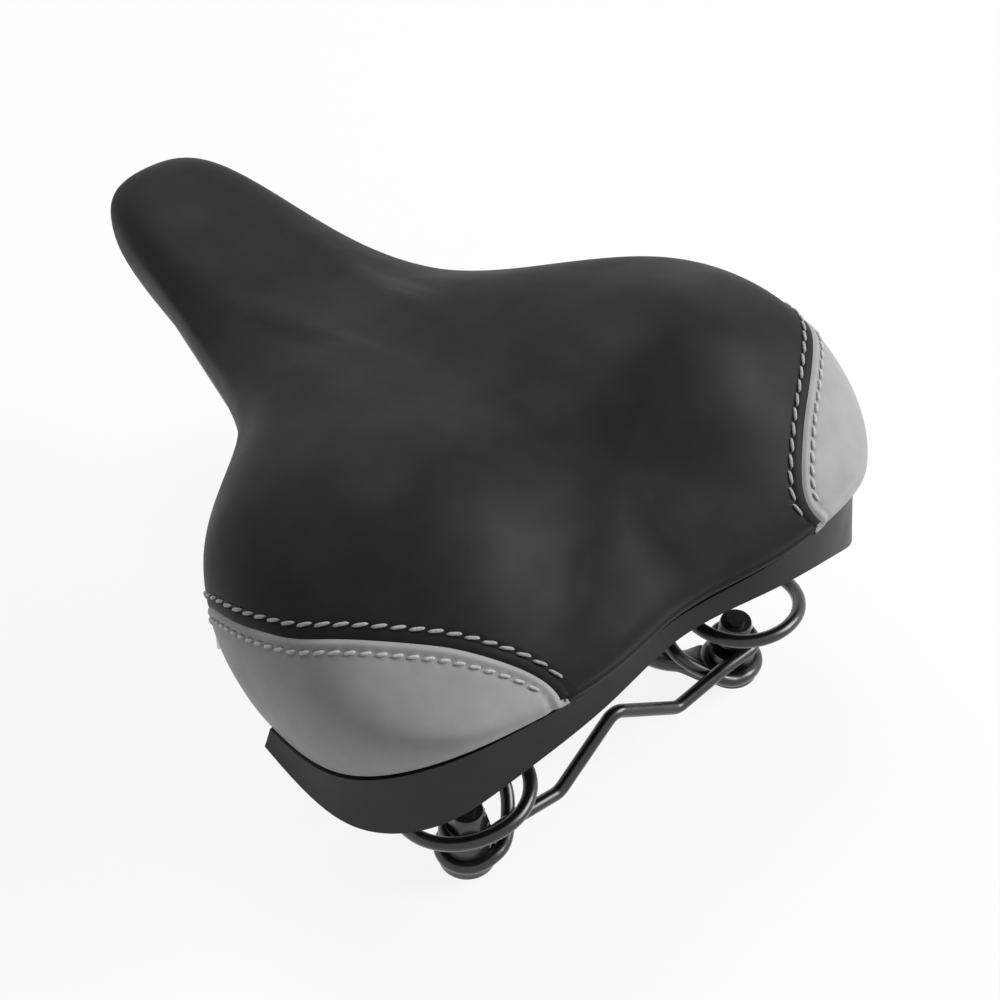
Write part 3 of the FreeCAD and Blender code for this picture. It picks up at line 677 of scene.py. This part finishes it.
def shape_seam(bm, seam_runs):
    """Presses the stitch rows in and rolls the panel's edge up, along both seams."""
    for side, run in seam_runs.items():
        tree = KDTree(len(run))
        for i, p in enumerate(run):
            tree.insert(p, i)
        tree.balance()
        verts = [v for v in bm.verts if v.co.y * side > 0 and v.co.x < seam_front_limit]
        co = np.array([v.co for v in verts])
        plan_off = seam_distance(co)
        for v, sign in zip(verts, np.sign(plan_off)):
            _, i, dist = tree.find(v.co)
            if dist > seam_zone:
                continue
            along = i * seam_step
            move = seam_profile(np.array([dist * sign]), np.array([along]))[0]
            v.co += v.normal * move


def finish_skin(name, bm, material):
    """Gives a piece of the skin its thickness."""
    obj = from_bmesh(name, bm, material)
    solid = obj.modifiers.new("thickness", "SOLIDIFY")
    solid.thickness = skin_t * MM
    solid.offset = -1
    apply_modifiers(obj)
    return obj


def frame_along(run, tree):
    """The run as an array, with the skin's outward normal and the sideways direction at each point."""
    run = np.array(run)
    tangent = np.gradient(run, axis=0)
    tangent /= np.linalg.norm(tangent, axis=1)[:, None]
    normals = []
    for p in run:
        _, n, _, _ = tree.find_nearest(Vector(p))
        normals.append(n)
    normals = np.array(normals)
    for _ in range(6):
        normals[1:-1] = (normals[:-2] + normals[1:-1] + normals[2:]) / 3
    normals -= (normals * tangent).sum(1)[:, None] * tangent
    normals /= np.linalg.norm(normals, axis=1)[:, None]
    across = np.cross(tangent, normals)
    return run, normals, across


def welt_strip(name, run, tree, panel_side):
    """Low black strip that lies in the seam between the cover and a corner panel; its vinyl is darker than
    the cover's, as painted shade.
    """
    run, normals, across = frame_along(run, tree)
    across = across * panel_side
    profile = []
    for a in np.radians(np.arange(0, 360, 24)):
        profile.append((math.cos(a) * welt_half_width, math.sin(a) * welt_rise - welt_sink))
    grid = [[tuple(p + s * w + n * h) for w, h in profile] for p, s, n in zip(run, across, normals)]
    return from_bmesh(name, grid_bmesh(grid, True, True), welt_vinyl_painted_shade)


def stitch_row(name, run, tree, panel_side, offset, pitch, length, material):
    """Row of slanted thread stitches at a distance from the seam."""
    run, _, across = frame_along(run, tree)
    across = across * panel_side
    line = run + across * offset
    step = 0.4
    line = even(line, step)
    bm = bmesh.new()
    per = pitch / step
    count = int((len(line) - 6) / per)
    half = length / 2
    for k in range(count):
        middle = 4 + (k + 0.5) * per
        i = int(round(middle))
        p = line[min(i, len(line) - 1)]
        a, b = line[max(i - 3, 0)], line[min(i + 3, len(line) - 1)]
        t = Vector(b - a).normalized()
        spot, n, _, _ = tree.find_nearest(Vector(p))
        w = n.cross(t).normalized()
        t = (t + w * thread_slant).normalized()
        w = n.cross(t).normalized()
        rings = []
        for s in np.linspace(-1, 1, 9):
            width = thread_thickness / 2 * math.sqrt(max(1 - abs(s) ** 3.2, 0.02))
            lift = thread_rise - thread_dip * abs(s) ** 6
            c = spot + t * (s * half) + n * lift
            rings.append([tuple(c + w * (width * math.cos(q)) + n * (width * 0.8 * math.sin(q)))
                          for q in np.radians(np.arange(0, 360, 45))])
        part = grid_bmesh(rings, True, True)
        mesh = bpy.data.meshes.new("stitch")
        part.to_mesh(mesh)
        part.free()
        bm.from_mesh(mesh)
        bpy.data.meshes.remove(mesh)
    return from_bmesh(name, bm, material)


def closed_form(name, inset, lower, raise_top, material, around=180):
    """Closed form of the cushion, moved inwards."""
    side = side_and_top(inset, lower, raise_top)
    above = surface(side, around, 60)
    below = surface(underside(side[0], base_drop_z + lower), around, 24)
    return from_bmesh(name, grid_bmesh(np.concatenate([below[::-1], above[1:]]), True, True), material)


skins, seam_runs, skin_tree = build_cushion()
cover = skins["cover"]
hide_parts("cover_main")
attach(cover, "seat")

foam = closed_form("foam_core", cover_t + 1.4, base_t + 0.6, -cover_t - 1.4, foam_grey)
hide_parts("foam_pad")
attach(foam, "seat")

for side, word in ((1, "left"), (-1, "right")):
    panel = skins[word + "_panel"]
    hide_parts(word + "_cover_panel")
    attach(panel, "seat")
    welt = welt_strip(word + "_welt", seam_runs[side], skin_tree, side)
    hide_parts(word + "_piping")
    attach(welt, "seat")
    for row, offset, pitch, length, material in (
            ("cover_stitches", cover_stitch_offset, stitch_pitch, cover_stitch_length, light_thread),
            ("panel_stitches", panel_stitch_offset, panel_stitch_pitch, panel_stitch_length, grey_thread)):
        stitches = stitch_row(word + "_" + row, seam_runs[side], skin_tree, side, offset, pitch, length,
                              material)
        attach(stitches, "seat")

# ---- coil springs -------------------------------------------------------------------------------
spring_x, spring_y = -76.0, 54.5
spring_foot_z, spring_head_z = -24.5, 4.5
wire_d = 4.2
foot_coil_r, head_coil_r, bulge_coil_r = 7.8, 18.2, 21.5


def coil_points(side):
    """Centre line of a spring: small foot coil, wide middle turn, large head coil."""
    rise = spring_head_z - spring_foot_z
    stations = [
        (475, foot_coil_r, 0), (420, foot_coil_r, 0), (300, foot_coil_r, 0), (205, foot_coil_r, 0),
        (165, foot_coil_r + 1.1, 0.04 * rise), (135, foot_coil_r + 2.9, 0.06 * rise),
        (101, foot_coil_r + 5.9, 0.18 * rise), (65, bulge_coil_r - 1, 0.38 * rise),
        (25, bulge_coil_r, 0.47 * rise), (-41, bulge_coil_r - 1.4, 0.66 * rise),
        (-131, head_coil_r + 0.3, 0.92 * rise), (-175, head_coil_r, rise), (-260, head_coil_r, rise),
        (-330, head_coil_r, rise), (-390, head_coil_r, rise)]
    angle = np.linspace(stations[0][0], stations[-1][0], 320)
    r = smooth([(a, radius) for a, radius, z in stations], angle)
    z = smooth([(a, height) for a, radius, height in stations], angle)
    turn = np.radians(angle)
    return np.column_stack([spring_x + r * np.cos(turn), side * (spring_y - r * np.sin(turn)),
                            spring_foot_z + z])


for side, word in ((1, "left"), (-1, "right")):
    spring = from_bmesh(word + "_coil_spring", tube(coil_points(side), wire_d / 2, 20), wire_paint)
    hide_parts(word + "_spring")
    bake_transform(spring)

# ---- finishes of the rigid parts ----------------------------------------------------------------
finishes = {
    "base_shell": base_plastic, "rear_skirt": skirt_plastic, "cover_staples": staple_steel,
    "left_spring_clip": rail_paint, "right_spring_clip": rail_paint, "nose_clip": rail_paint,
    "rail_frame": rail_paint, "rear_stay": wire_paint,
    "skirt_screws": fastener_black, "spring_clip_screws": fastener_black,
    "nose_clip_screws": fastener_black,
    "spring_locators": fastener_black, "spring_bolts": fastener_black, "spring_washers": fastener_black,
    "spring_nuts": fastener_black,
}
for node, material in finishes.items():
    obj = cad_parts[node]
    obj.data.materials.clear()
    obj.data.materials.append(material)

# ---- studio -------------------------------------------------------------------------------------
floor_z = cad_box[0][2]


def seen_directly(tree):
    """Socket that is 1 for rays that show the background: from the camera, mirrored or through glass."""
    path = tree.nodes.new("ShaderNodeLightPath")
    seen = path.outputs["Is Camera Ray"]
    for kind in ("Is Glossy Ray", "Is Transmission Ray"):
        total = tree.nodes.new("ShaderNodeMath")
        total.use_clamp = True
        tree.links.new(seen, total.inputs[0])
        tree.links.new(path.outputs[kind], total.inputs[1])
        seen = total.outputs[0]
    return seen


def studio_floor():
    """Wide white floor that keeps a faint shadow and shows white to the camera and in reflections."""
    bm = bmesh.new()
    reach = 12.0
    bmesh.ops.create_grid(bm, x_segments=8, y_segments=8, size=reach)
    bm.transform(Matrix.Translation((0, 0, floor_z)))
    material = bpy.data.materials.new("studio_white")
    material.use_nodes = True
    tree = material.node_tree
    tree.nodes.clear()
    out = tree.nodes.new("ShaderNodeOutputMaterial")
    diffuse = tree.nodes.new("ShaderNodeBsdfDiffuse")
    diffuse.inputs["Color"].default_value = (0.92, 0.92, 0.92, 1)
    glow = tree.nodes.new("ShaderNodeEmission")
    glow.inputs["Color"].default_value = (1, 1, 1, 1)
    share = tree.nodes.new("ShaderNodeMath")
    share.operation = "MULTIPLY"
    share.inputs[1].default_value = 0.88
    mix = tree.nodes.new("ShaderNodeMixShader")
    tree.links.new(seen_directly(tree), share.inputs[0])
    tree.links.new(share.outputs[0], mix.inputs["Fac"])
    tree.links.new(diffuse.outputs[0], mix.inputs[1])
    tree.links.new(glow.outputs[0], mix.inputs[2])
    tree.links.new(mix.outputs[0], out.inputs["Surface"])
    floor = from_bmesh("studio_floor", bm, material, 1.0)


def area_light(name, place, aim, size, power):
    data = bpy.data.lights.new(name, "AREA")
    data.shape = "RECTANGLE"
    data.size, data.size_y = size
    data.energy = power
    lamp = new_object(name, data)
    lamp.location = place
    lamp.rotation_euler = (Vector(aim) - Vector(place)).to_track_quat("-Z", "Y").to_euler()
    return lamp


def studio_world(strength):
    world = bpy.data.worlds.new("studio_world")
    world.use_nodes = True
    tree = world.node_tree
    tree.nodes["Background"].inputs["Color"].default_value = (1, 1, 1, 1)
    level = tree.nodes.new("ShaderNodeMapRange")
    level.inputs["To Min"].default_value = strength
    level.inputs["To Max"].default_value = 1.0
    tree.links.new(seen_directly(tree), level.inputs["Value"])
    tree.links.new(level.outputs["Result"], tree.nodes["Background"].inputs["Strength"])
    bpy.context.scene.world = world


camera_azimuth, camera_elevation = 40.74, 45.59
camera_distance = 0.5994
camera_target = Vector((-0.02793, 0.00042, 0.04594))
focal_share = 2.0586           # focal length over the frame's width
sensor_width = 36.0


def make_camera():
    data = bpy.data.cameras.new("camera")
    data.sensor_width = sensor_width
    data.lens = sensor_width * focal_share
    data.clip_start = 0.01
    camera = new_object("camera", data)
    a, e = math.radians(camera_azimuth), math.radians(camera_elevation)
    look = Vector((math.cos(e) * math.cos(a), -math.cos(e) * math.sin(a), -math.sin(e)))
    camera.location = camera_target - look * camera_distance
    camera.rotation_euler = look.to_track_quat("-Z", "Y").to_euler()
    bpy.context.scene.camera = camera


studio_floor()
studio_world(0.22)
aim = (-0.03, 0.0, 0.05)
area_light("key", (-0.75, -1.0, 0.75), aim, (0.8, 0.8), 20)
area_light("top", (0.55, -0.15, 1.1), aim, (0.5, 1.0), 7)
make_camera()
bpy.context.scene.view_settings.view_transform = "Standard"
